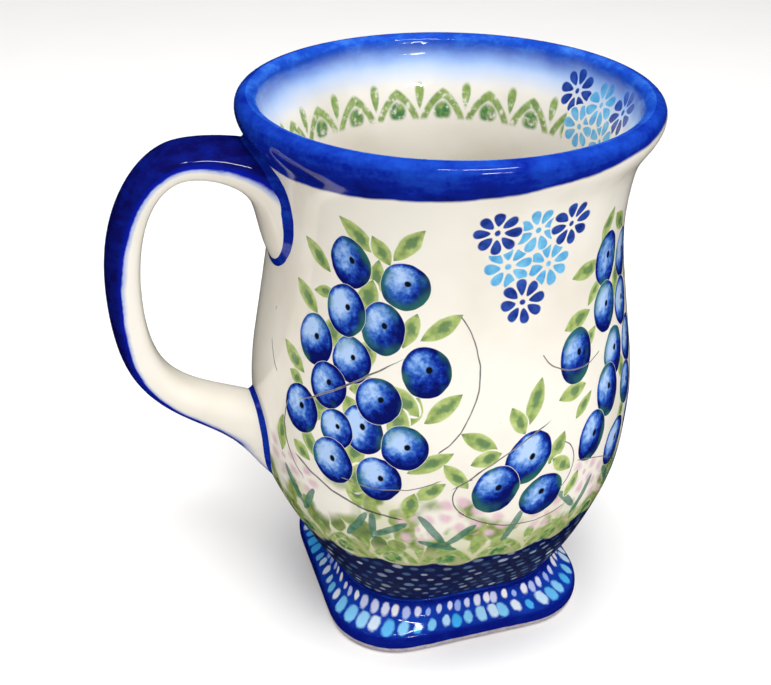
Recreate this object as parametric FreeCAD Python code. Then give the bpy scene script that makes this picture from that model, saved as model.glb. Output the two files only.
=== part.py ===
import FreeCAD, Part
import math
import os

# Stoneware mug on a square foot, in millimetres.
# The origin is the centre of the foot's resting face, +Z is up and the handle points along -X.

# Driving dimensions
cup_height = 127.0
rim_radius = 45.0
belly_radius = 44.6
waist_radius = 39.1
wall = 4.6
lip_thickness = 5.0
floor_thickness = 5.0
cavity_floor_half_side = 20.0
cavity_corner = 9.0

foot_half_side = 32.0
neck_half_side = 27.2
neck_height = 11.0
foot_slip_thickness = 0.8
recess_depth = 4.0
recess_half_side = 25.5

handle_half_width = 6.2
handle_half_thickness = 3.65
upper_slip_size = 1.7
lower_slip_size = 1.5
slip_bite = 0.5

# Worked out from the driving dimensions
belly_start = neck_height + foot_slip_thickness
cavity_floor = belly_start + floor_thickness
lip_height = cup_height - lip_thickness / 2
section_points = 32
lip_steps = 6
slip_sections = 40

# Foot, bottom to top: height, half side, and corner radius as a share of the half side
foot_sections = [
    (0.0, foot_half_side - 1.1, 0.53),
    (1.3, foot_half_side - 0.15, 0.53),
    (3.0, foot_half_side, 0.53),
    (4.8, foot_half_side - 0.3, 0.54),
    (6.4, foot_half_side - 2.0, 0.57),
    (8.4, neck_half_side + 0.9, 0.62),
    (neck_height, neck_half_side, 0.68),
]

# Cup, bottom to top: the rounded square of the neck turns into a circle at the belly
cup_sections = [
    (belly_start, neck_half_side, 0.69),
    (14.0, 28.6, 0.71),
    (17.0, 30.6, 0.74),
    (21.0, 33.2, 0.79),
    (25.5, 36.0, 0.86),
    (30.5, 38.9, 0.93),
    (36.0, 41.6, 0.98),
    (43.0, 43.7, 1.0),
    (51.0, 44.4, 1.0),
    (59.0, belly_radius, 1.0),
    (67.0, 43.9, 1.0),
    (76.0, 42.4, 1.0),
    (86.0, 40.7, 1.0),
    (95.0, waist_radius + 0.3, 1.0),
    (103.0, waist_radius, 1.0),
    (110.0, 39.7, 1.0),
    (117.0, 41.6, 1.0),
    (lip_height, rim_radius, 1.0),
]

# Handle centre line, top to bottom: reach from the axis, height, half thickness, half width.
# The first and last stations lie inside the cup's wall, so that both ends meet it all round.
handle_stations = [
    (30.0, 96.0, 9.5, 9.5),
    (34.0, 103.4, 8.6, 11.8),
    (43.6, 114.4, 4.9, 9.6),
    (52.0, 116.8, 3.8, 7.4),
    (61.1, 115.4, 3.4, 6.6),
    (69.2, 103.3, 3.5, handle_half_width),
    (71.2, 90.2, handle_half_thickness, handle_half_width),
    (70.2, 76.8, handle_half_thickness, handle_half_width),
    (63.0, 63.6, handle_half_thickness, handle_half_width),
    (51.5, 56.2, 4.9, 6.6),
    (40.0, 47.4, 8.1, 7.6),
    (35.0, 43.4, 9.3, 8.0),
]


def rounded_square_radius(angle, half_side, corner_share):
    """Distance from the centre to a square's rounded outline, in the direction of angle."""
    corner = half_side * corner_share
    inset = half_side - corner
    eighth = abs((angle + math.pi / 4) % (math.pi / 2) - math.pi / 4)
    if half_side * math.tan(eighth) <= inset:
        return half_side / math.cos(eighth)
    along = inset * (math.cos(eighth) + math.sin(eighth))
    return along + math.sqrt(along ** 2 - 2 * inset ** 2 + corner ** 2)


def closed_curve(points):
    """One smooth closed edge through the points."""
    curve = Part.BSplineCurve()
    curve.interpolate(Points=points, PeriodicFlag=True)
    return Part.Wire([curve.toShape()])


def level_outline(height, half_side, corner_share):
    """A rounded square, or a circle when the corner share is 1, lying flat at a height."""
    points = []
    for index in range(section_points):
        angle = 2 * math.pi * index / section_points
        radius = rounded_square_radius(angle, half_side, corner_share)
        points.append(FreeCAD.Vector(radius * math.cos(angle), radius * math.sin(angle), height))
    return closed_curve(points)


def stack(sections):
    """A solid that passes smoothly through level outlines."""
    return Part.makeLoft([level_outline(*section) for section in sections], True, False)


def at(reach, height):
    """A point in the XZ plane."""
    return FreeCAD.Vector(reach, 0, height)


def cup_body():
    """The hollow cup: one skin that goes up the outside, over the lip and down the inside."""
    lip_middle = rim_radius - lip_thickness / 2
    skin = list(cup_sections)
    for step in range(1, lip_steps):
        turn = math.pi * step / lip_steps
        reach = lip_middle + lip_thickness / 2 * math.cos(turn)
        skin.append((lip_height + lip_thickness / 2 * math.sin(turn), reach, 1.0))
    skin.append((lip_height, rim_radius - lip_thickness, 1.0))
    for height, half_side, corner_share in reversed(cup_sections[:-1]):
        if height > cavity_floor + cavity_corner:
            inner_share = min(1.0, corner_share + 0.1)
            skin.append((height, half_side - wall, inner_share))
    skin.append((cavity_floor + cavity_corner / 3, cavity_floor_half_side + cavity_corner * 0.7, 0.95))
    skin.append((cavity_floor, cavity_floor_half_side, 0.95))
    return stack(skin)


def foot_block():
    """The foot's outside as a solid block."""
    return stack(foot_sections)


def foot_recess():
    """The hollow under the foot, which leaves a ring for the mug to stand on."""
    return stack([
        (-1.0, recess_half_side + 0.4, 0.55),
        (recess_depth / 2, recess_half_side - 0.6, 0.58),
        (recess_depth, recess_half_side - 2.0, 0.62),
    ])


def foot_slip():
    """The joining clay between foot and cup, a thin slab with a rounded edge."""
    middle = neck_height + foot_slip_thickness / 2
    return stack([
        (neck_height, neck_half_side - 0.1, 0.68),
        (middle, neck_half_side + 0.15, 0.68),
        (belly_start, neck_half_side - 0.1, 0.69),
    ])


def handle_outline(centre, forward, half_thickness, half_width):
    """A full oval across the handle, square to its centre line."""
    outward = FreeCAD.Vector(-forward.z, 0, forward.x)
    points = []
    for index in range(section_points):
        angle = 2 * math.pi * index / section_points
        across = math.copysign(abs(math.cos(angle)) ** 0.85, math.cos(angle)) * half_thickness
        side = math.copysign(abs(math.sin(angle)) ** 0.85, math.sin(angle)) * half_width
        points.append(centre + outward * across + FreeCAD.Vector(0, side, 0))
    return closed_curve(points)


def handle_bar():
    """The whole handle strap, with ends that run on into the wall."""
    centres = [at(-reach, height) for reach, height, thickness, width in handle_stations]
    path = Part.BSplineCurve()
    path.interpolate(Points=centres)
    outlines = []
    for centre, station in zip(centres, handle_stations):
        forward = path.tangent(path.parameter(centre))[0]
        outlines.append(handle_outline(centre, forward, station[2], station[3]))
    return Part.makeLoft(outlines, True, False)


def outermost(shape):
    """The one solid of a shape that reaches furthest along -X."""
    return min(shape.Solids, key=lambda solid: solid.BoundBox.XMin)


def normal_on(shape, point):
    """The outward direction of a shape's largest face, at a point on it."""
    face = max(shape.Faces, key=lambda one: one.Area)
    u, v = face.Surface.parameter(point)
    return face.normalAt(u, v)


def along_surface(normal, tangent, away_from):
    """The direction in a surface, across a crease, that leads away from the other piece."""
    across = normal.cross(tangent).normalize()
    return across if across.dot(away_from) > 0 else across * -1


def handle_slip(cup, bar, crease, size):
    """The joining clay that rounds the crease between handle and cup, all round it."""
    outlines = []
    for index in range(slip_sections):
        share = index / slip_sections
        place = crease.FirstParameter + share * (crease.LastParameter - crease.FirstParameter)
        corner = crease.valueAt(place)
        tangent = crease.tangentAt(place)
        cup_normal = normal_on(cup, corner)
        bar_normal = normal_on(bar, corner)
        inward = (cup_normal + bar_normal).normalize() * slip_bite
        on_cup = corner + along_surface(cup_normal, tangent, bar_normal) * size - cup_normal * slip_bite / 2
        on_bar = corner + along_surface(bar_normal, tangent, cup_normal) * size - bar_normal * slip_bite / 2
        hollow = (on_cup + on_bar) * 0.4 + corner * 0.2
        outlines.append(Part.Wire([
            Part.Arc(on_cup, hollow, on_bar).toShape(),
            Part.makeLine(on_bar, corner - inward),
            Part.makeLine(corner - inward, on_cup),
        ]))
    ring = Part.makeLoft(outlines, True, False, True)
    return outermost(outermost(ring.cut(cup)).cut(bar))


def creases(cup, bar):
    """The two closed edges where the handle meets the cup's outside, upper one first."""
    joined = cup.fuse(bar)
    found = [edge for edge in joined.Edges if edge.isClosed() and edge.CenterOfMass.x < -waist_radius]
    return sorted(found, key=lambda edge: -edge.CenterOfMass.z)


def write(name, shape):
    """Save one named piece."""
    shape.exportStep(os.path.join("parts", name + ".step"))


os.makedirs("parts", exist_ok=True)
cup = cup_body()
bar = handle_bar()
write("cup_body", cup)
write("foot_slip", foot_slip())
write("square_foot", foot_block().cut(foot_recess()))
write("handle", outermost(bar.cut(cup)))
upper_crease, lower_crease = creases(cup, bar)
write("upper_handle_slip", handle_slip(cup, bar, upper_crease, upper_slip_size))
write("lower_handle_slip", handle_slip(cup, bar, lower_crease, lower_slip_size))
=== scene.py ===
import bpy
import math
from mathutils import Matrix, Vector

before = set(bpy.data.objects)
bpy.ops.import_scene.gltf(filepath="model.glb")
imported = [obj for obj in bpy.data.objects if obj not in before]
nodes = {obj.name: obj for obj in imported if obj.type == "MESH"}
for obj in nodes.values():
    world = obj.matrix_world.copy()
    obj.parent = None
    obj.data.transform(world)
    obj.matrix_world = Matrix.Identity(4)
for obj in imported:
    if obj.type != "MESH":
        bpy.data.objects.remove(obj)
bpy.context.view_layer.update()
mm = 0.001
print("frame loaded")


def addNode(tree, kind, **settings):
    node = tree.nodes.new(kind)
    for name, value in settings.items():
        setattr(node, name, value)
    return node


def feed(tree, socket, value):  # a socket takes a link, or a plain value
    if isinstance(value, bpy.types.NodeSocket):
        tree.links.new(value, socket)
    else:
        socket.default_value = value


def calc(tree, operation, first, second=0.0, third=0.0):
    node = addNode(tree, "ShaderNodeMath", operation=operation)
    for socket, value in zip(node.inputs, (first, second, third)):
        feed(tree, socket, value)
    return node.outputs[0]


def calcVector(tree, operation, first, second=(0, 0, 0)):
    node = addNode(tree, "ShaderNodeVectorMath", operation=operation)
    feed(tree, node.inputs[0], first)
    if operation == "SCALE":
        feed(tree, node.inputs["Scale"], second)
    else:
        feed(tree, node.inputs[1], second)
    return node.outputs["Value" if operation in ("LENGTH", "DOT_PRODUCT") else "Vector"]


def split(tree, vector):
    node = addNode(tree, "ShaderNodeSeparateXYZ")
    feed(tree, node.inputs[0], vector)
    return node.outputs


def along(tree, vector, axis):  # one of a vector's three numbers
    return calcVector(tree, "DOT_PRODUCT", vector, {"x": (1, 0, 0), "y": (0, 1, 0), "z": (0, 0, 1)}[axis])


def splitColour(tree, paint):
    node = addNode(tree, "ShaderNodeSeparateColor")
    feed(tree, node.inputs[0], paint)
    return node.outputs


def join(tree, x, y, z):
    node = addNode(tree, "ShaderNodeCombineXYZ")
    for socket, value in zip(node.inputs, (x, y, z)):
        feed(tree, socket, value)
    return node.outputs[0]


def fade(tree, value, low, high):  # 0 at low and 1 at high, eased
    node = addNode(tree, "ShaderNodeMapRange", interpolation_type="SMOOTHSTEP")
    feed(tree, node.inputs["Value"], value)
    feed(tree, node.inputs["From Min"], low)
    feed(tree, node.inputs["From Max"], high)
    return node.outputs["Result"]


def fadeOut(tree, value, low, high):  # 1 at low and 0 at high, eased
    return calc(tree, "SUBTRACT", 1.0, fade(tree, value, low, high))


def paintOver(tree, mask, below, above):
    node = addNode(tree, "ShaderNodeMix", data_type="RGBA")
    feed(tree, node.inputs[0], mask)
    feed(tree, node.inputs[6], below)
    feed(tree, node.inputs[7], above)
    return node.outputs[2]


def mottle(tree, vector, scale, detail=2.0, rough=0.5):
    node = addNode(tree, "ShaderNodeTexNoise")
    feed(tree, node.inputs["Vector"], vector)
    node.inputs["Scale"].default_value = scale
    node.inputs["Detail"].default_value = detail
    node.inputs["Roughness"].default_value = rough
    return node.outputs["Fac"]


def unsteady(tree, place, scale, reach):  # how far an unsteady hand strays at a place
    node = addNode(tree, "ShaderNodeTexNoise")
    feed(tree, node.inputs["Vector"], place)
    node.inputs["Scale"].default_value = scale
    drift = join(tree, *splitColour(tree, node.outputs["Color"]))
    shift = calcVector(tree, "SUBTRACT", drift, (0.5, 0.5, 0.5))
    return calcVector(tree, "SCALE", shift, reach)


def shades(tree, value, stops):  # a colour ramp: (place, (r, g, b)) from dark to light
    node = addNode(tree, "ShaderNodeValToRGB")
    ramp = node.color_ramp
    while len(ramp.elements) < len(stops):
        ramp.elements.new(0.5)
    for element, (place, colour) in zip(ramp.elements, stops):
        element.position = place
        element.color = (*colour, 1)
    feed(tree, node.inputs[0], value)
    return node.outputs[0]


def newGroup(name, inputs, outputs):
    group = bpy.data.node_groups.new(name, "ShaderNodeTree")
    for label, kind in inputs:
        group.interface.new_socket(label, in_out="INPUT", socket_type=kind)
    for label, kind in outputs:
        group.interface.new_socket(label, in_out="OUTPUT", socket_type=kind)
    return group, addNode(group, "NodeGroupInput").outputs, addNode(group, "NodeGroupOutput").inputs


def useGroup(tree, group, **inputs):
    node = addNode(tree, "ShaderNodeGroup", node_tree=group)
    for name, value in inputs.items():
        feed(tree, node.inputs[name], value)
    return node.outputs


number, colour, vector = "NodeSocketFloat", "NodeSocketColor", "NodeSocketVector"

glazes = {
    "cream": (0.80, 0.765, 0.69),
    "creamPool": (0.70, 0.655, 0.57),
    "cobaltDeep": (0.003, 0.003, 0.07),
    "cobalt": (0.003, 0.014, 0.25),
    "cobaltBright": (0.010, 0.065, 0.46),
    "cobaltPale": (0.05, 0.20, 0.70),
    "clay": (0.50, 0.46, 0.47),
}


def makeCreamGlaze():
    group, given, result = newGroup("creamGlaze", [("Place", vector)], [("Color", colour)])
    pooled = mottle(group, given["Place"], 0.035, 3)
    speck = mottle(group, given["Place"], 1.4, 2)
    base = paintOver(group, fade(group, pooled, 0.42, 0.75), (*glazes["cream"], 1), (*glazes["creamPool"], 1))
    freckles = calc(group, "MULTIPLY", fade(group, speck, 0.70, 0.82), 0.25)
    feed(group, result["Color"], paintOver(group, freckles, base, (0.42, 0.34, 0.25, 1)))
    return group


def makeCobaltWash():
    group, given, result = newGroup("cobaltWash", [("Place", vector), ("Depth", number)], [("Color", colour)])
    cloud = mottle(group, given["Place"], 0.16, 4, 0.6)
    brush = mottle(group, calcVector(group, "MULTIPLY", given["Place"], (0.25, 0.25, 1.3)), 0.55, 3)
    grain = mottle(group, given["Place"], 1.1, 2)
    tone = calc(group, "ADD", calc(group, "MULTIPLY", cloud, 0.5), calc(group, "MULTIPLY", brush, 0.35))
    tone = calc(group, "ADD", tone, calc(group, "MULTIPLY", grain, 0.15))
    tone = calc(group, "SUBTRACT", calc(group, "MULTIPLY_ADD", tone, 1.2, -0.12), given["Depth"])
    feed(group, result["Color"], shades(group, tone, [
        (0.0, glazes["cobaltDeep"]),
        (0.38, glazes["cobalt"]),
        (0.70, glazes["cobaltBright"]),
        (1.0, glazes["cobaltPale"]),
    ]))
    return group


def makeGlazeSheen():
    outputs = [("Roughness", number), ("Height", number)]
    group, given, result = newGroup("glazeSheen", [("Place", vector)], outputs)
    ripple = mottle(group, given["Place"], 0.09, 2)
    orange = mottle(group, given["Place"], 0.7, 2)
    height = calc(group, "ADD", ripple, calc(group, "MULTIPLY", orange, 0.06))
    feed(group, result["Height"], height)
    feed(group, result["Roughness"], calc(group, "MULTIPLY_ADD", orange, 0.06, 0.04))
    return group


creamGlaze = makeCreamGlaze()
cobaltWash = makeCobaltWash()
glazeSheen = makeGlazeSheen()


def newMaterial(name):
    material = bpy.data.materials.new(name)
    material.use_nodes = True
    tree = material.node_tree
    tree.nodes.clear()
    seen = addNode(tree, "ShaderNodeTexCoord")
    place = calcVector(tree, "SCALE", seen.outputs["Object"], 1 / mm)
    return material, tree, place


glazeFinish = {
    "bump": 0.10,
    "bumpDepth": 1.2 * mm,
    "ior": 1.52,
    "specular": 0.5,
    "dullSpecular": 0.42,  # how much of the specular level dullness takes away
    "dullRoughness": 0.6,
}


def finishGlaze(tree, place, paint, dull=None):
    shader = addNode(tree, "ShaderNodeBsdfPrincipled")
    output = addNode(tree, "ShaderNodeOutputMaterial")
    sheen = useGroup(tree, glazeSheen, Place=place)
    bumps = addNode(tree, "ShaderNodeBump")
    bumps.inputs["Strength"].default_value = glazeFinish["bump"]
    bumps.inputs["Distance"].default_value = glazeFinish["bumpDepth"]
    feed(tree, bumps.inputs["Height"], sheen["Height"])
    feed(tree, shader.inputs["Normal"], bumps.outputs[0])
    feed(tree, shader.inputs["Base Color"], paint)
    rough = sheen["Roughness"]
    specular = glazeFinish["specular"]
    if dull is not None:  # bare clay and sponged paint shine less
        rough = calc(tree, "MULTIPLY_ADD", dull, glazeFinish["dullRoughness"], rough)
        specular = calc(tree, "MULTIPLY_ADD", dull, -glazeFinish["dullSpecular"], specular)
    feed(tree, shader.inputs["Roughness"], rough)
    feed(tree, shader.inputs["Specular IOR Level"], specular)
    shader.inputs["IOR"].default_value = glazeFinish["ior"]
    tree.links.new(shader.outputs[0], output.inputs[0])


wallProbe = {"start": 0.2, "low": 20, "high": 124}  # start in metres; lowest and highest height in mm


def wallReach(angle, height):  # how far the cup's wall stands from the axis, in mm
    away = Vector((math.sin(angle), -math.cos(angle), 0))
    level = min(max(height, wallProbe["low"]), wallProbe["high"])
    start = away * wallProbe["start"] + Vector((0, 0, level * mm))
    place = nodes["cup_body"].ray_cast(start, -away)[1]
    return math.hypot(place.x, place.y) / mm


farAway = (900.0, 900.0, 900.0)  # out of reach of every mark
nowhere = (9.0, 9.0, 9.0)  # in a mark's own measure, where its edge is 1


def marksOf(rows):  # rows of angle, height, half width, half height and turn, from the top one down
    return [dict(zip(("angle", "height", "halfWide", "halfTall", "turn"), row)) for row in rows]


def patch(tree, place, angle, height, halfWide, halfTall, turn=0.0, across=0.0, inside=0.0, depth=14.0):
    around = math.radians(angle)
    reach = wallReach(around, height) - inside
    node = addNode(tree, "ShaderNodeMapping", vector_type="TEXTURE")
    feed(tree, node.inputs["Vector"], place)
    node.inputs["Location"].default_value = (
        reach * math.sin(around) + across * math.cos(around),
        -reach * math.cos(around) + across * math.sin(around),
        height,
    )
    node.inputs["Rotation"].default_value = (0, -math.radians(turn), around)
    node.inputs["Scale"].default_value = (halfWide, depth, halfTall)
    return node.outputs[0]


def topmost(tree, wall, marks):
    # marks run from the top one down: each covers what is under it, so the wall moves out of reach there
    found = nowhere
    for mark in marks:
        flat = patch(tree, wall, **mark)
        inside = calc(tree, "LESS_THAN", calcVector(tree, "LENGTH", flat), 1.0)
        wall = calcVector(tree, "ADD", calcVector(tree, "SCALE", farAway, inside), wall)
        step = calcVector(tree, "SCALE", calcVector(tree, "SUBTRACT", flat, nowhere), inside)
        found = calcVector(tree, "ADD", step, found)
    return found, wall


def flatLength(tree, flat):
    return calcVector(tree, "LENGTH", calcVector(tree, "MULTIPLY", flat, (1, 0, 1)))


# painted motifs: angle round from the front in degrees, height, half width, half height in mm, and turn
berries = [
    (-31, 99.5, 5, 5, 0), (-48, 102.5, 4.5, 5.5, 10), (-37, 90, 4.5, 5.5, 10),
    (-59, 83.5, 4.5, 5.5, 10), (-46, 82, 4.5, 5, 10), (-49, 92, 4.5, 5.5, 10),
    (-24, 82, 5, 5.5, 0), (-53, 75, 4.5, 5, 15), (-41, 67.5, 4.5, 5.5, 25),
    (-37, 74.5, 5, 5, 0), (-62, 67, 5, 5.5, 10), (-49, 66, 4, 4.5, 15),
    (-36, 56.5, 5, 5.5, 0), (-29, 65, 5, 5, 0), (-50, 58, 5, 5.5, 20),
    (5, 61.5, 5, 6.5, -30), (-4, 55, 5, 6, -20), (10, 51, 5.5, 5, 40),
    (52, 96, 4.5, 5.5, 0), (38, 98.5, 4.5, 6, -5), (50, 85.5, 4.5, 5.5, 0),
    (37, 88, 4.5, 5.5, 0), (22, 81, 4.5, 6, -10), (54, 75, 4.5, 5.5, 0),
    (41, 76.5, 4.5, 5.5, 0), (50, 65.5, 4.5, 5, 0), (36, 69, 4.5, 6, -5),
    (57, 56, 5, 5.5, 0), (28, 60.5, 4.5, 6, -15), (42, 53.5, 5, 6, -10),
]

leaves = [
    (-45, 109, 5, 2, -40), (-30, 108.5, 5, 2, 50), (-60, 102, 4.5, 2, -40),
    (-64, 92, 4.5, 2, -40), (-38, 106.5, 3.5, 2, -60), (-67, 77.5, 4.5, 2, -30),
    (-29, 90.5, 4, 2, 70), (-20, 91.5, 5, 2, 35), (-65, 73.5, 2.5, 1.5, -20),
    (-27, 73.5, 3.5, 2, 75), (-19, 74.5, 5, 2, 40), (-22, 62, 5.5, 2, 30),
    (-9, 67, 4.5, 2, -30), (-15, 59, 4, 2, -50), (-7, 63, 3.5, 2, 20),
    (7, 74, 5.5, 2, 70), (2, 70.5, 3.5, 2, -65), (14, 62, 4, 2, 60),
    (16, 57.5, 3.5, 2, -40), (23, 88.5, 4, 2, 15), (28, 83.5, 3, 1.5, 40),
    (20, 73.5, 4, 2, 10), (24, 69.5, 3.5, 1.5, 40), (27, 98.5, 4.5, 2, 10),
    (31, 93, 3.5, 1.5, 45), (-70, 58, 5, 2, 85), (-61, 57, 3, 2, -35),
    (-22, 55, 4, 2, 35), (-27, 51, 3.5, 2, 80), (-43, 52, 4.5, 2.5, -80),
    (-40, 100, 4.5, 2, 80), (-42, 83.5, 4.5, 2.5, 65), (-30, 75.5, 4.5, 2.5, -40),
    (-58, 60.5, 4.5, 2, -60), (-43, 61.5, 4, 2.5, 60), (36, 106.5, 4, 2, 70),
    (46, 105, 4.5, 2, -40), (62, 90, 4.5, 2, 20), (64, 72, 4.5, 2, 30),
    (45, 92, 4.5, 2, 70), (45, 60, 4.5, 2, 60), (64, 62, 4.5, 2, -25),
    (-42, 95.5, 4.5, 2.5, 80), (-41, 77, 4, 2.5, 20), (-44, 71, 4, 2.5, -50),
    (-31, 70, 4, 2.5, 80), (-55, 69.5, 4.5, 2.5, 65), (-53, 86.5, 4, 2.5, 70),
    (-42, 55.5, 4.5, 3, 75), (-57, 94.5, 3, 1.5, 10), (46, 71, 4.5, 2, -70), (21, 50.5, 3.5, 1.5, 60),
]

darkFlowers = [(-6, 111.5, 0), (17, 111, 12), (3, 96, 8), (80, 111.5, 0), (93, 111, 10), (86, 96, 5)]
lightFlowers = [(6, 111, 20), (-2, 104, 5), (11, 103, 15), (86, 111, 20), (82, 103.5, 5), (91, 103.5, 15)]
flowerRadius = 5

# a circle's angle, offset, height and radius, its arc's middle and half length, and half the line's width
vines = [
    (-14, -18, 81.5, 21.5, -8, 44, 0.17), (-45, -120, 252, 212, -56, 3.4, 0.24),
    (-47, 14, 95.5, 48.5, -107, 16, 0.32), (-32, -5.5, 86, 32, -81, 20, 0.15),
    (-74, 6, 80.5, 11, 196, 40, 0.18), (-2, 43, -7, 82.5, 122, 8.5, 0.20),
    (-13, 3, 53.5, 5, 172, 70, 0.17), (0, 6, 70.5, 26.5, -100, 29, 0.17),
    (18, -5, 57, 7, 0, 58, 0.17), (16, 6, 90.5, 12.5, -105, 42, 0.16),
    (34, -22, 11, 47, 60, 14, 0.15), (-66, 14, 62, 16, 196, 34, 0.22),
    (62, -16, 78, 20, 4, 48, 0.17), (84, 4, 70, 14, 210, 50, 0.16),
]

sprigs = [
    (-43, 42.5, 5.5, 1, 60), (-33, 43, 5, 1, 35), (-38, 43, 4.5, 1, 90),
    (-21, 44.5, 5, 1, -55), (-13, 43, 4.5, 1, 45), (-19, 39.5, 4.5, 1, -15),
    (20, 46.5, 4.5, 1, -50), (27, 45, 5.5, 1, 60), (-66, 45.5, 5.5, 1, -60),
    (-60, 43.5, 5, 1, 60), (2, 44, 5, 1, 65), (46, 44, 5, 1, 50),
    (40, 45, 5, 1, -55), (66, 44, 5, 1, 60), (84, 44.5, 5, 1, -55),
]

pinkFlowers = [
    (-70, 52, 7), (-62, 49.5, 6), (-25, 44.5, 6.5), (-13, 49, 6.5), (-6, 46, 5.5),
    (13, 45, 5.5), (26, 51.5, 6), (35, 46.5, 6), (55, 47, 6.5), (72, 50, 6.5), (90, 49, 6.5),
]


berryPaint = {
    "growth": 1.02,
    "skin": [
        (0.0, (0.003, 0.006, 0.10)), (0.20, (0.005, 0.024, 0.27)), (0.42, (0.03, 0.11, 0.46)),
        (0.60, (0.14, 0.29, 0.66)), (0.85, (0.40, 0.56, 0.84)),
    ],
    "glowPlace": (-0.22, 0, 0.22),
    "green": (0.03, 0.15, 0.10, 1),
    "dotPlace": (0.10, 0, 0.12),
    "dot": (0.004, 0.006, 0.012, 1),
}


def paintBerries(tree, wall, place, below):
    growth = berryPaint["growth"]
    flat, wall = topmost(tree, wall, marksOf(
        (angle, height, wide * growth, tall * growth, turn)
        for angle, height, wide, tall, turn in reversed(berries)))
    x, z = along(tree, flat, "x"), along(tree, flat, "z")
    radius = flatLength(tree, flat)
    fine = mottle(tree, place, 0.75, 3, 0.6)
    each = mottle(tree, place, 0.085, 1)
    tone = calc(tree, "MULTIPLY_ADD", z, 0.26, 0.44)
    tone = calc(tree, "SUBTRACT", tone, calc(tree, "MULTIPLY", x, 0.16))
    tone = calc(tree, "ADD", tone, calc(tree, "MULTIPLY_ADD", fine, 0.9, -0.45))
    tone = calc(tree, "ADD", tone, calc(tree, "MULTIPLY_ADD", each, 1.1, -0.55))
    toGlow = calcVector(tree, "SUBTRACT", flat, berryPaint["glowPlace"])
    glow = fadeOut(tree, flatLength(tree, toGlow), 0.1, 0.95)
    tone = calc(tree, "ADD", tone, calc(tree, "MULTIPLY_ADD", glow, 0.48, -0.20))
    tone = calc(tree, "SUBTRACT", tone, calc(tree, "MULTIPLY", fade(tree, radius, 0.74, 0.97), 0.42))
    skin = shades(tree, tone, berryPaint["skin"])
    patchy = fade(tree, mottle(tree, place, 0.11, 2), 0.50, 0.62)
    green = calc(tree, "MULTIPLY", patchy, fade(tree, radius, 0.45, 0.95))
    skin = paintOver(tree, calc(tree, "MULTIPLY", green, 0.75), skin, berryPaint["green"])
    toDot = calcVector(tree, "SUBTRACT", flat, berryPaint["dotPlace"])
    skin = paintOver(tree, fadeOut(tree, flatLength(tree, toDot), 0.10, 0.16), skin, berryPaint["dot"])
    return paintOver(tree, fadeOut(tree, radius, 0.97, 1.0), below, skin), wall


leafPaint = {
    "blade": [
        (0.25, (0.12, 0.21, 0.04)), (0.48, (0.24, 0.34, 0.08)),
        (0.72, (0.39, 0.49, 0.15)), (0.95, (0.55, 0.62, 0.28)),
    ],
    "spot": (0.04, 0.14, 0.045, 1),
    "tips": (0.045, 0.13, 0.04, 1),
}


def paintLeaves(tree, wall, place, below):
    flat, wall = topmost(tree, wall, marksOf(reversed(leaves)))
    x, z = along(tree, flat, "x"), along(tree, flat, "z")
    taper = calc(tree, "SUBTRACT", 1.0, calc(tree, "MULTIPLY", x, x))
    edge = calc(tree, "DIVIDE", calc(tree, "ABSOLUTE", z), calc(tree, "MAXIMUM", taper, 0.02))
    fine = mottle(tree, place, 0.55, 3)
    tone = calc(tree, "ADD", calc(tree, "MULTIPLY", fine, 0.9), calc(tree, "MULTIPLY", edge, 0.25))
    leaf = shades(tree, tone, leafPaint["blade"])
    spot = calcVector(tree, "MULTIPLY", calcVector(tree, "SUBTRACT", flat, (0.12, 0, 0)), (2.1, 0, 1.5))
    blotch = calc(tree, "ADD", calcVector(tree, "LENGTH", spot), calc(tree, "MULTIPLY_ADD", fine, 1.0, -0.5))
    dark = calc(tree, "MULTIPLY", fadeOut(tree, blotch, 0.45, 0.95), 0.75)
    leaf = paintOver(tree, dark, leaf, leafPaint["spot"])
    tips = calc(tree, "MULTIPLY", fade(tree, calc(tree, "ABSOLUTE", x), 0.72, 1.0), 0.6)
    leaf = paintOver(tree, tips, leaf, leafPaint["tips"])
    return paintOver(tree, calc(tree, "MULTIPLY", fadeOut(tree, edge, 0.82, 1.02), 0.94), below, leaf), wall


vinePaint = {
    "ink": (0.055, 0.05, 0.06, 1),
    "depth": 300,  # mm, enough for an arc whose circle leaves the cup
    "nearWall": 0.12,  # the share of that depth in which a line counts
    "endFade": 0.97,
}


def paintVines(tree, wall, place, below):
    lines = 0.0
    for angle, across, height, radius, middle, half, width in vines:
        flat = patch(tree, wall, angle, height, radius, radius, middle, across, depth=vinePaint["depth"])
        off = calc(tree, "ABSOLUTE", calc(tree, "SUBTRACT", calcVector(tree, "LENGTH", flat), 1.0))
        line = fadeOut(tree, off, width * 0.5 / radius, width * 1.2 / radius)
        reach = along(tree, flat, "x")
        endsAt = math.radians(half)
        onArc = fade(tree, reach, math.cos(endsAt), math.cos(endsAt * vinePaint["endFade"]))
        line = calc(tree, "MULTIPLY", line, onArc)
        near = calc(tree, "LESS_THAN", calc(tree, "ABSOLUTE", along(tree, flat, "y")), vinePaint["nearWall"])
        line = calc(tree, "MULTIPLY", line, near)
        lines = calc(tree, "MAXIMUM", lines, line)
        covered = calc(tree, "GREATER_THAN", line, 0.5)
        wall = calcVector(tree, "ADD", calcVector(tree, "SCALE", farAway, covered), wall)
    broken = calc(tree, "MULTIPLY_ADD", mottle(tree, place, 0.5, 3), 0.5, 0.6)
    return paintOver(tree, calc(tree, "MULTIPLY", lines, broken), below, vinePaint["ink"]), wall


petalShape = {"middle": 0.62, "halfLong": 0.36, "widen": 0.25, "root": 0.06, "heart": (0.09, 0.15)}


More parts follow.
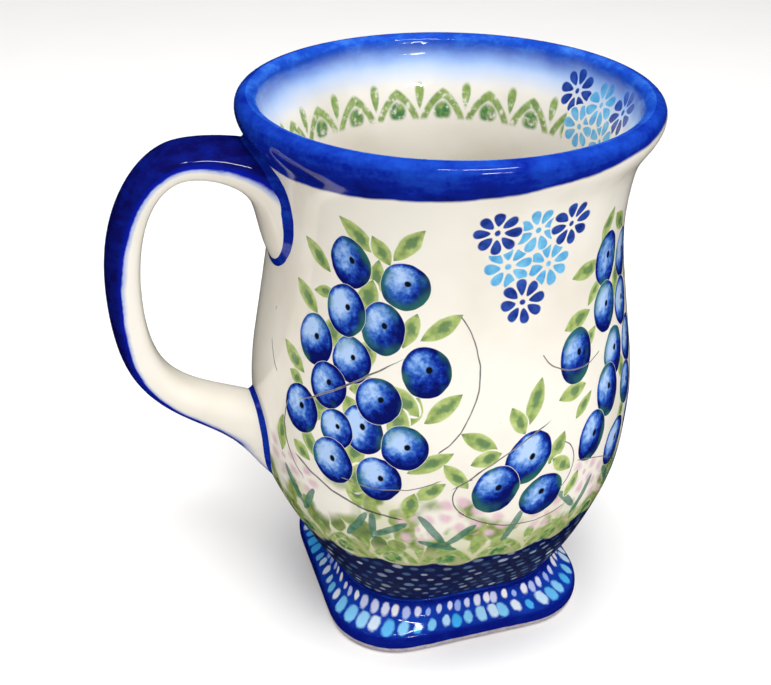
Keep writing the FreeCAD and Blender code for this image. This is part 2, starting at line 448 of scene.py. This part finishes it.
def petals(tree, flat, count, soft=0.0, full=1.0):  # how much of a flower's petals cover a point
    radius = flatLength(tree, flat)
    turn = calc(tree, "ARCTAN2", along(tree, flat, "z"), along(tree, flat, "x"))
    turn = calc(tree, "DIVIDE", turn, math.tau / count)
    off = calc(tree, "MULTIPLY", calc(tree, "SUBTRACT", turn, calc(tree, "ROUND", turn)), math.tau / count)
    out = calc(tree, "MULTIPLY", radius, calc(tree, "COSINE", off))
    side = calc(tree, "MULTIPLY", radius, calc(tree, "SINE", off))
    # a petal is wider towards its tip
    swell = calc(tree, "MULTIPLY_ADD", out, petalShape["widen"] * full, petalShape["root"] * full)
    lengthwise = calc(tree, "SUBTRACT", out, petalShape["middle"])
    lengthwise = calc(tree, "DIVIDE", lengthwise, petalShape["halfLong"])
    shape = join(tree, lengthwise, 0.0, calc(tree, "DIVIDE", side, swell))
    petal = fadeOut(tree, calcVector(tree, "LENGTH", shape), 0.84 - soft, 1.04)
    heart = fadeOut(tree, radius, *petalShape["heart"])
    return calc(tree, "MAXIMUM", petal, heart)


def paintFlowers(tree, wall, place, spots, tones, below, keep=1.0, inside=0.0, size=flowerRadius):
    marks = marksOf((angle, height, size, size, turn) for angle, height, turn in spots)
    for mark in marks:
        mark["inside"] = inside
    flat, wall = topmost(tree, wall, marks)
    tint = shades(tree, mottle(tree, place, 0.5, 3), [(0.3, tones[0]), (0.7, tones[1])])
    return paintOver(tree, calc(tree, "MULTIPLY", petals(tree, flat, 8), keep), below, tint), wall


pinkPaint = {"petal": (0.66, 0.45, 0.52, 1), "petals": 6, "squash": 0.8, "soft": 0.6, "full": 1.5}


def paintPink(tree, wall, place, below):
    squash = pinkPaint["squash"]
    marks = marksOf((angle, height, size, size * squash, angle * 3) for angle, height, size in pinkFlowers)
    flat, wall = topmost(tree, wall, marks)
    blur = mottle(tree, place, 0.5, 3)
    flower = petals(tree, flat, pinkPaint["petals"], pinkPaint["soft"], pinkPaint["full"])
    mask = calc(tree, "MULTIPLY", flower, calc(tree, "MULTIPLY_ADD", blur, 1.0, 0.35))
    return paintOver(tree, mask, below, pinkPaint["petal"]), wall


sprigTones = [(0.35, (0.03, 0.12, 0.09)), (0.7, (0.10, 0.24, 0.17))]


def paintSprigs(tree, wall, place, below):
    flat, wall = topmost(tree, wall, marksOf(sprigs))
    x, z = along(tree, flat, "x"), along(tree, flat, "z")
    blunt = calc(tree, "POWER", calc(tree, "ABSOLUTE", x), 4.0)
    edge = calc(tree, "ADD", calc(tree, "MULTIPLY", z, z), blunt)
    tone = shades(tree, mottle(tree, place, 0.5, 3), sprigTones)
    return paintOver(tree, calc(tree, "MULTIPLY", fadeOut(tree, edge, 0.6, 1.0), 0.85), below, tone), wall


archPaint = {
    "light": [(0.3, (0.15, 0.25, 0.06)), (0.7, (0.32, 0.43, 0.14))],
    "dark": (0.05, 0.19, 0.06, 1),
}


def makeLeafArches():
    # a row of leafy arches with a teardrop between them: Along counts repeats, Up runs 0 to 1
    group, given, result = newGroup("leafArches", [("Along", number), ("Up", number), ("Place", vector)],
                                    [("Mask", number), ("Color", colour)])
    beat = calc(group, "SUBTRACT", given["Along"], calc(group, "ROUND", given["Along"]))
    x = calc(group, "MULTIPLY", calc(group, "ABSOLUTE", beat), 2.0)
    up = given["Up"]
    sideways = calc(group, "POWER", calc(group, "MULTIPLY", x, 1.02), 1.35)
    upwards = calc(group, "POWER", calc(group, "MAXIMUM", calc(group, "MULTIPLY", up, 1.05), 0.0), 1.35)
    pointed = calc(group, "ADD", sideways, upwards)
    band = fadeOut(group, calc(group, "ABSOLUTE", calc(group, "SUBTRACT", pointed, 0.80)), 0.12, 0.28)
    centred = calc(group, "MULTIPLY", x, 2.5)
    toHeart = join(group, centred, calc(group, "MULTIPLY", calc(group, "SUBTRACT", up, 0.26), 3.0), 0.0)
    heart = fadeOut(group, calcVector(group, "LENGTH", toHeart), 0.65, 1.20)
    narrow = calc(group, "MULTIPLY_ADD", up, 0.22, 0.02)
    between = calc(group, "DIVIDE", calc(group, "SUBTRACT", x, 1.0), narrow)
    toDrop = join(group, between, calc(group, "MULTIPLY", calc(group, "SUBTRACT", up, 0.74), 2.5), 0.0)
    drop = fadeOut(group, calcVector(group, "LENGTH", toDrop), 0.75, 1.15)
    low = fade(group, up, -0.05, 0.10)
    shape = calc(group, "MAXIMUM", calc(group, "MULTIPLY", calc(group, "MAXIMUM", band, heart), low), drop)
    worn = fade(group, mottle(group, given["Place"], 0.6, 3), 0.25, 0.50)
    feed(group, result["Mask"], calc(group, "MULTIPLY", shape, worn))
    dark = calc(group, "MULTIPLY", heart, fade(group, mottle(group, given["Place"], 0.45, 2), 0.35, 0.6))
    light = shades(group, mottle(group, given["Place"], 0.7, 3), archPaint["light"])
    feed(group, result["Color"], paintOver(group, dark, light, archPaint["dark"]))
    return group


leafArches = makeLeafArches()


bandEdge = {"height": 34.2, "tilt": (0.103, 0.018, 0)}  # the top of the blue band dips towards the handle


groundPaint = {
    "wash": (0.50, 0.52, 0.28, 1),
    "cleared": (0.50, 0.48, 0.26, 1),
    "leafy": [(0.35, (0.04, 0.10, 0.02)), (0.62, (0.13, 0.20, 0.04)), (0.95, (0.34, 0.42, 0.13))],
    "layers": [(0.16, (1.0, 1.0, 0.66)), (0.20, (1.0, 1.0, 0.60))],  # scale and squash of overlapping leaves
    "curl": (0.15, 6.0),  # scale, and reach in mm
    "top": (46.0, 25.0),  # how much the upper edge wanders, and its lowest height in mm
    "arches": 22.0,
    "archTall": 7.5,
}


def paintGround(tree, wall, place, turns, height, below):
    # overlapping leaves that stand on the blue band, thinner towards the top
    wander = mottle(tree, place, 0.09, 2)
    curled = calcVector(tree, "ADD", wall, unsteady(tree, place, *groundPaint["curl"]))
    top = calc(tree, "MULTIPLY_ADD", wander, *groundPaint["top"])
    reach = fadeOut(tree, calc(tree, "SUBTRACT", height, top), -6.0, 3.0)
    fine = mottle(tree, place, 0.5, 3)
    ground = paintOver(tree, calc(tree, "MULTIPLY", reach, 0.5), below, groundPaint["wash"])
    for scale, squash in groundPaint["layers"]:
        cells = addNode(tree, "ShaderNodeTexVoronoi")
        feed(tree, cells.inputs["Vector"], calcVector(tree, "MULTIPLY", curled, squash))
        cells.inputs["Scale"].default_value = scale
        chance = splitColour(tree, cells.outputs["Color"])[0]
        tone = calc(tree, "ADD", calc(tree, "MULTIPLY", fine, 0.7), calc(tree, "MULTIPLY", chance, 0.35))
        tone = calc(tree, "ADD", tone, calc(tree, "MULTIPLY", cells.outputs["Distance"], 0.4))
        leafy = shades(tree, tone, groundPaint["leafy"])
        cover = calc(tree, "MULTIPLY", fadeOut(tree, cells.outputs["Distance"], 0.42, 0.54), reach)
        ground = paintOver(tree, calc(tree, "MULTIPLY", cover, 0.92), ground, leafy)
    above = calc(tree, "SUBTRACT", height, calcVector(tree, "DOT_PRODUCT", place, bandEdge["tilt"]))
    lift = calc(tree, "DIVIDE", calc(tree, "SUBTRACT", above, bandEdge["height"]), groundPaint["archTall"])
    repeats = calc(tree, "MULTIPLY", turns, groundPaint["arches"])
    arches = useGroup(tree, leafArches, Along=repeats, Up=lift, Place=place)
    cleared = calc(tree, "MULTIPLY", fadeOut(tree, lift, 0.55, 1.0), 0.6)
    ground = paintOver(tree, cleared, ground, groundPaint["cleared"])
    return paintOver(tree, arches["Mask"], ground, arches["Color"])


def spongeDots(tree, turns, rise, around, tall, wide, place):
    # staggered rows of small dabs: turns goes once round as 0 to 1, rise counts rows
    row = calc(tree, "FLOOR", rise)
    column = calc(tree, "MULTIPLY_ADD", turns, around, calc(tree, "MULTIPLY", row, 0.5))
    cell = calc(tree, "FLOOR", column)
    chance = addNode(tree, "ShaderNodeTexWhiteNoise", noise_dimensions="2D")
    feed(tree, chance.inputs["Vector"], join(tree, cell, row, 0.0))
    luck = splitColour(tree, chance.outputs["Color"])
    x = calc(tree, "SUBTRACT", calc(tree, "FRACT", column), calc(tree, "MULTIPLY_ADD", luck[0], 0.3, 0.35))
    y = calc(tree, "SUBTRACT", calc(tree, "FRACT", rise), calc(tree, "MULTIPLY_ADD", luck[1], 0.2, 0.40))
    size = calc(tree, "MULTIPLY_ADD", luck[2], 0.5, 0.70)
    dab = join(tree, calc(tree, "DIVIDE", x, wide), calc(tree, "DIVIDE", y, tall), 0.0)
    far = calcVector(tree, "LENGTH", dab)
    far = calc(tree, "ADD", far, calc(tree, "MULTIPLY_ADD", mottle(tree, place, 0.9, 2), 0.5, -0.25))
    return fadeOut(tree, calc(tree, "DIVIDE", far, size), 0.62, 1.10), luck


spongePaint = {
    # navy: the band's dark navy paint, made darker still as painted shade on the underside of the belly
    "navy": (0.003, 0.006, 0.030, 1),
    "dabs": [(0.1, (0.02, 0.07, 0.18)), (0.5, (0.10, 0.19, 0.32)), (0.9, (0.40, 0.46, 0.52))],
    "firstRow": 12.0,
    "rowTall": 2.7,
    "around": 62.0,
    "waves": 22,
}


def paintSpongeBand(tree, place, turns, height, below):
    wavy = calc(tree, "SINE", calc(tree, "MULTIPLY", turns, math.tau * spongePaint["waves"]))
    level = calc(tree, "ADD", height, calc(tree, "MULTIPLY", wavy, 0.7))
    level = calc(tree, "ADD", level, calc(tree, "MULTIPLY_ADD", mottle(tree, place, 0.12, 2), 5.0, -2.5))
    level = calc(tree, "SUBTRACT", level, calcVector(tree, "DOT_PRODUCT", place, bandEdge["tilt"]))
    mask = fadeOut(tree, level, bandEdge["height"] - 0.5, bandEdge["height"] + 0.4)
    navy = useGroup(tree, cobaltWash, Place=place, Depth=0.30)["Color"]
    # painted shade: the band's blue is pushed towards near-black navy for the shade under the belly as well
    # as for the navy paint
    navy = paintOver(tree, 0.72, navy, spongePaint["navy"])
    rise = calc(tree, "SUBTRACT", height, spongePaint["firstRow"])
    rise = calc(tree, "DIVIDE", rise, spongePaint["rowTall"])
    dots, luck = spongeDots(tree, turns, rise, spongePaint["around"], 0.29, 0.30, place)
    tint = shades(tree, luck[1], spongePaint["dabs"])
    strength = calc(tree, "MULTIPLY_ADD", luck[0], 0.5, 0.4)
    navy = paintOver(tree, calc(tree, "MULTIPLY", dots, strength), navy, tint)
    return paintOver(tree, mask, below, navy)


innerSpots = {
    "arches": 20, "archBottom": 108.0, "archTop": 115.6, "wall": 4.6,
    "dark": [(109.0, 119.2, 0), (80.5, 119.8, 10)],
    "light": [(95.0, 118.6, 15), (102.5, 112.4, 0), (87.5, 112.0, 8)],
    "bareMiddle": 93 / 360, "bareHalf": 17 / 360,  # no arches behind the flowers
}
darkPetals = ((0.008, 0.022, 0.18), (0.03, 0.08, 0.38))
lightPetals = ((0.07, 0.32, 0.60), (0.18, 0.50, 0.76))

cupPaint = {
    "frontFrom": -80 / 360,  # where the painting starts and ends, in turns from the front
    "frontTo": 100 / 360,
    "unsteady": (0.16, 1.0),  # scale, and reach in mm
    "flowersFrom": -28.0,  # no flowers beside the handle
    "mist": (0.26, 0.47, 0.86, 1),
    "mistHeight": (114.5, 122.5),
    "floorBelow": 40.0,
    "rimTilt": (0.108, 0.019, 0),  # the rim's blue comes further down beside the handle
    "rimOutside": (121.3, 122.2),
    "rimInside": (119.5, 126.0),
    "bandDull": (26.0, 35.0),
}


def makeCupPaint():
    material, tree, place = newMaterial("paintedCupGlaze")
    x, y, height = split(tree, place)
    angle = calc(tree, "ARCTAN2", x, calc(tree, "MULTIPLY", y, -1.0))
    turns = calc(tree, "DIVIDE", angle, math.tau)
    # the front half is painted once; the back half is the same painting turned half way round
    front = calc(tree, "MULTIPLY", calc(tree, "GREATER_THAN", turns, cupPaint["frontFrom"]),
                 calc(tree, "LESS_THAN", turns, cupPaint["frontTo"]))
    side = calc(tree, "MULTIPLY_ADD", front, 2.0, -1.0)
    drawn = calcVector(tree, "ADD", place, unsteady(tree, place, *cupPaint["unsteady"]))
    dx, dy, dz = split(tree, drawn)
    wall = join(tree, calc(tree, "MULTIPLY", dx, side), calc(tree, "MULTIPLY", dy, side), dz)
    cream = useGroup(tree, creamGlaze, Place=place)["Color"]

    # each motif hides the ones that come after it
    free = calc(tree, "GREATER_THAN", x, cupPaint["flowersFrom"])
    outer = paintGround(tree, wall, place, turns, height, cream)
    outer, left = paintFlowers(tree, wall, place, darkFlowers, darkPetals, outer, free)
    outer, left = paintFlowers(tree, left, place, lightFlowers, lightPetals, outer, free)
    outer, left = paintVines(tree, left, place, outer)
    outer, left = paintBerries(tree, left, place, outer)
    outer, left = paintLeaves(tree, left, place, outer)
    outer, left = paintSprigs(tree, left, place, outer)
    outer, left = paintPink(tree, left, place, outer)
    outer = paintSpongeBand(tree, place, turns, height, outer)

    uneven = calc(tree, "MULTIPLY_ADD", mottle(tree, place, 0.10, 3), 1.6, -0.8)
    wavyHeight = calc(tree, "MULTIPLY_ADD", uneven, 1.6, height)
    misty = calc(tree, "MULTIPLY", fade(tree, wavyHeight, *cupPaint["mistHeight"]), 0.8)
    inner = paintOver(tree, misty, cream, cupPaint["mist"])
    archTall = innerSpots["archTop"] - innerSpots["archBottom"]
    up = calc(tree, "DIVIDE", calc(tree, "SUBTRACT", height, innerSpots["archBottom"]), archTall)
    repeats = calc(tree, "MULTIPLY", turns, innerSpots["arches"])
    arches = useGroup(tree, leafArches, Along=repeats, Up=up, Place=place)
    fromFlowers = calc(tree, "ABSOLUTE", calc(tree, "SUBTRACT", turns, innerSpots["bareMiddle"]))
    bare = calc(tree, "LESS_THAN", fromFlowers, innerSpots["bareHalf"])
    archMask = calc(tree, "MULTIPLY", arches["Mask"], calc(tree, "SUBTRACT", 1.0, bare))
    inner = paintOver(tree, archMask, inner, arches["Color"])
    within = innerSpots["wall"]
    inner, left = paintFlowers(tree, drawn, place, innerSpots["light"], lightPetals, inner, inside=within)
    inner, left = paintFlowers(tree, left, place, innerSpots["dark"], darkPetals, inner, inside=within)

    normal = addNode(tree, "ShaderNodeNewGeometry").outputs["Normal"]
    outward = calcVector(tree, "DOT_PRODUCT", normal, calcVector(tree, "MULTIPLY", place, (1, 1, 0)))
    # the floor inside the cup faces up and isn't outer wall
    upward = calc(tree, "MULTIPLY", along(tree, normal, "z"), 40.0)
    floorOnly = calc(tree, "MULTIPLY", upward, calc(tree, "LESS_THAN", height, cupPaint["floorBelow"]))
    isOuter = calc(tree, "GREATER_THAN", outward, calc(tree, "MAXIMUM", floorOnly, 0.0))
    isInner = calc(tree, "SUBTRACT", 1.0, isOuter)
    paint = paintOver(tree, isOuter, inner, outer)

    dipped = calc(tree, "SUBTRACT", height, calcVector(tree, "DOT_PRODUCT", place, cupPaint["rimTilt"]))
    rimOuter = fade(tree, calc(tree, "ADD", dipped, uneven), *cupPaint["rimOutside"])
    rimInner = fade(tree, wavyHeight, *cupPaint["rimInside"])
    rimMask = calc(tree, "MULTIPLY", isOuter, rimOuter)
    rimMask = calc(tree, "ADD", rimMask, calc(tree, "MULTIPLY", isInner, rimInner))
    thick = fadeOut(tree, height, 120.0, 127.0)
    rimDepth = calc(tree, "MULTIPLY", calc(tree, "MULTIPLY", thick, isOuter), 0.26)
    rimDepth = calc(tree, "SUBTRACT", rimDepth, calc(tree, "MULTIPLY", isInner, 0.20))
    rim = useGroup(tree, cobaltWash, Place=place, Depth=calc(tree, "SUBTRACT", rimDepth, 0.04))["Color"]
    paint = paintOver(tree, rimMask, paint, rim)
    sponged = calc(tree, "MULTIPLY", fadeOut(tree, height, *cupPaint["bandDull"]), isOuter)
    finishGlaze(tree, place, paint, calc(tree, "MULTIPLY", sponged, 0.9))
    return material


footPaint = {
    "glow": (0.008, 0.07, 0.55, 1),
    # dark: partly the foot's navy paint and partly painted shade in the crease under the cup
    "dark": (0.002, 0.005, 0.16, 1),
    "bareBelow": (1.9, 2.2),
    "clay": [(0.3, (0.33, 0.29, 0.32)), (0.7, (0.52, 0.47, 0.50))],
    "rows": [  # height of the row, how tall, dabs around, half height and half width, where it fades, tints
        (7.4, 2.9, 76.0, 0.44, 0.36, (7.3, 7.5, 10.2, 10.4),
         [(0.1, (0.30, 0.42, 0.85)), (0.5, (0.62, 0.66, 0.88)), (0.9, (0.85, 0.84, 0.88))]),
        (5.0, 2.6, 64.0, 0.42, 0.42, (4.9, 5.1, 7.3, 7.6),
         [(0.1, (0.05, 0.42, 0.85)), (0.55, (0.25, 0.62, 0.92)), (0.9, (0.75, 0.84, 0.94))]),
    ],
}


def makeFootPaint():
    material, tree, place = newMaterial("dottedFootGlaze")
    x, y, height = split(tree, place)
    turns = calc(tree, "DIVIDE", calc(tree, "ARCTAN2", x, calc(tree, "MULTIPLY", y, -1.0)), math.tau)
    blue = useGroup(tree, cobaltWash, Place=place, Depth=0.05)["Color"]
    # a brighter blue band round the middle of the foot's side
    fromMiddle = calc(tree, "ABSOLUTE", calc(tree, "SUBTRACT", height, 7.2))
    glow = calc(tree, "MULTIPLY", fadeOut(tree, fromMiddle, 0.5, 3.2), 0.45)
    blue = paintOver(tree, glow, blue, footPaint["glow"])
    # painted shade: the blue darkens towards the top of the foot, in the crease under the cup, over its
    # darker navy paint; it also darkens towards the bottom
    dark = calc(tree, "ADD", fade(tree, height, 9.0, 11.2), fadeOut(tree, height, 4.3, 5.6))
    dark = calc(tree, "MINIMUM", calc(tree, "MULTIPLY", dark, 0.75), 1.0)
    blue = paintOver(tree, dark, blue, footPaint["dark"])
    for low, rowTall, around, halfTall, halfWide, fades, tints in footPaint["rows"]:
        rise = calc(tree, "DIVIDE", calc(tree, "SUBTRACT", height, low), rowTall)
        dabs, luck = spongeDots(tree, turns, rise, around, halfTall, halfWide, place)
        inRow = calc(tree, "MULTIPLY", fade(tree, height, *fades[:2]), fadeOut(tree, height, *fades[2:]))
        tint = shades(tree, luck[1], tints)
        blue = paintOver(tree, calc(tree, "MULTIPLY", dabs, inRow), blue, tint)
    uneven = calc(tree, "MULTIPLY_ADD", mottle(tree, place, 0.2, 2), 0.6, -0.3)
    bare = fadeOut(tree, calc(tree, "ADD", height, uneven), *footPaint["bareBelow"])
    clay = shades(tree, mottle(tree, place, 0.9, 4), footPaint["clay"])
    finishGlaze(tree, place, paintOver(tree, bare, blue, clay), bare)
    return material


handlePaint = {
    "middle": (-50.0, 0.0, 86.0),  # the middle of the gap, which the brushed face looks away from
    "edge": (0.002, 0.010, 0.36, 1),
    "halo": (0.10, 0.22, 0.66, 1),
    "depth": 0.40,
}


def makeHandlePaint():
    material, tree, place = newMaterial("handleGlaze")
    height = split(tree, place)[2]
    cream = useGroup(tree, creamGlaze, Place=place)["Color"]
    blue = useGroup(tree, cobaltWash, Place=place, Depth=handlePaint["depth"])["Color"]
    # the brush went down the outward face, so the blue follows how far the surface faces away from the cup
    normal = addNode(tree, "ShaderNodeNewGeometry").outputs["Normal"]
    away = calcVector(tree, "SUBTRACT", place, handlePaint["middle"])
    away = calcVector(tree, "NORMALIZE", calcVector(tree, "MULTIPLY", away, (1, 0, 1)))
    outward = calcVector(tree, "DOT_PRODUCT", normal, away)
    limit = calc(tree, "MULTIPLY_ADD", fade(tree, height, 50.0, 108.0), -0.48, 0.52)
    uneven = calc(tree, "MULTIPLY_ADD", mottle(tree, place, 0.14, 3), 0.3, -0.15)
    cover = calc(tree, "SUBTRACT", calc(tree, "ADD", outward, uneven), limit)
    edging = calc(tree, "MULTIPLY", fadeOut(tree, cover, 0.05, 0.55), 0.75)
    blue = paintOver(tree, edging, blue, handlePaint["edge"])
    halo = fade(tree, cover, -0.26, 0.02)
    paint = paintOver(tree, calc(tree, "MULTIPLY", halo, 0.6), cream, handlePaint["halo"])
    paint = paintOver(tree, fade(tree, cover, -0.04, 0.10), paint, blue)
    finishGlaze(tree, place, paint)
    return material


def makeSeamPaint():
    material, tree, place = newMaterial("seamGlaze")
    finishGlaze(tree, place, useGroup(tree, cobaltWash, Place=place, Depth=0.06)["Color"])
    return material


def dress(name, material):
    nodes[name].material_slots[0].material = material


dress("cup_body", makeCupPaint())
dress("square_foot", makeFootPaint())
dress("handle", makeHandlePaint())
seamPaint = makeSeamPaint()
for name in ("foot_slip", "upper_handle_slip", "lower_handle_slip"):
    dress(name, seamPaint)
print("glazes painted")


studio = {
    "floor": (0.93, 0.925, 0.92),
    "floorSize": 40,
    "horizon": 0.10,
    "zenith": 0.75,
    "lights": [  # name, place, aim, size, power
        ("overheadPanel", (-0.10, -0.10, 0.85), (0, 0, 0), (0.80, 0.60), 6.0),
        ("insidePanel", (0.02, -0.06, 0.50), (0, 0, 0.08), (0.10, 0.10), 0.22),
        ("fillPanel", (0.50, -0.80, 0.55), (0, 0, 0.06), (0.60, 0.60), 2.4),
    ],
    "strips": [  # these are the only lights that the glaze mirrors
        ("frontStrip", (0.06, -0.42, 0.75), (0, 0, 0.12), (0.30, 0.03), 0.9),
        ("frontLamp", (-0.16, -0.42, 0.75), (0, 0, 0.12), (0.05, 0.03), 0.18),
        ("insideStrip", (0.03, -0.95, 0.50), (0, 0, 0.12), (0.15, 0.03), 0.8),
        ("insideLamp", (0.17, -0.95, 0.50), (0, 0, 0.12), (0.03, 0.03), 0.1),
    ],
}


def addStudio(plan):
    world = bpy.data.worlds.new("studioWorld")
    bpy.context.scene.world = world
    world.use_nodes = True
    tree = world.node_tree
    sky = tree.nodes["Background"]
    way = addNode(tree, "ShaderNodeTexCoord").outputs["Generated"]
    rise = fade(tree, along(tree, way, "z"), -0.1, 0.9)
    spread = plan["zenith"] - plan["horizon"]
    feed(tree, sky.inputs["Strength"], calc(tree, "MULTIPLY_ADD", rise, spread, plan["horizon"]))
    sky.inputs["Color"].default_value = (1.0, 0.985, 0.965, 1)
    world.cycles_visibility.glossy = False
    for name, place, aim, size, power in plan["lights"] + plan["strips"]:
        light = bpy.data.lights.new(name, "AREA")
        light.shape = "RECTANGLE"
        light.size, light.size_y = size
        light.energy = power
        holder = bpy.data.objects.new(name, light)
        bpy.context.scene.collection.objects.link(holder)
        holder.visible_glossy = (name, place, aim, size, power) in plan["strips"]
        holder.location = place
        holder.rotation_euler = (Vector(aim) - Vector(place)).to_track_quat("-Z", "Y").to_euler()


def addFloor(plan):
    bpy.ops.object.select_all(action="DESELECT")
    bpy.ops.mesh.primitive_plane_add(size=plan["floorSize"], location=(0, 0, 0))
    floor = bpy.context.active_object
    floor.name = "floor"
    material, tree, place = newMaterial("floorPaper")
    shader = addNode(tree, "ShaderNodeBsdfPrincipled")
    output = addNode(tree, "ShaderNodeOutputMaterial")
    tone = mottle(tree, place, 0.02, 2)
    low = tuple(0.985 * part for part in plan["floor"])
    feed(tree, shader.inputs["Base Color"], shades(tree, tone, [(0.3, low), (0.7, plan["floor"])]))
    shader.inputs["Roughness"].default_value = 0.9
    tree.links.new(shader.outputs[0], output.inputs[0])
    floor.data.materials.append(material)
    floor.visible_glossy = False


cameraView = {
    "place": (-82.4 * mm, -220.4 * mm, 201.3 * mm),
    "turn": (59.9, -0.43, -17.1),
    "lens": 53.7,
}


def addCamera(view):
    camera = bpy.data.cameras.new("mugCamera")
    camera.lens = view["lens"]
    camera.sensor_width = 36
    holder = bpy.data.objects.new("mugCamera", camera)
    bpy.context.scene.collection.objects.link(holder)
    holder.location = view["place"]
    holder.rotation_euler = [math.radians(part) for part in view["turn"]]
    bpy.context.scene.camera = holder


bpy.context.scene.view_settings.view_transform = "Standard"
addStudio(studio)
addFloor(studio)
addCamera(cameraView)
print("studio ready")
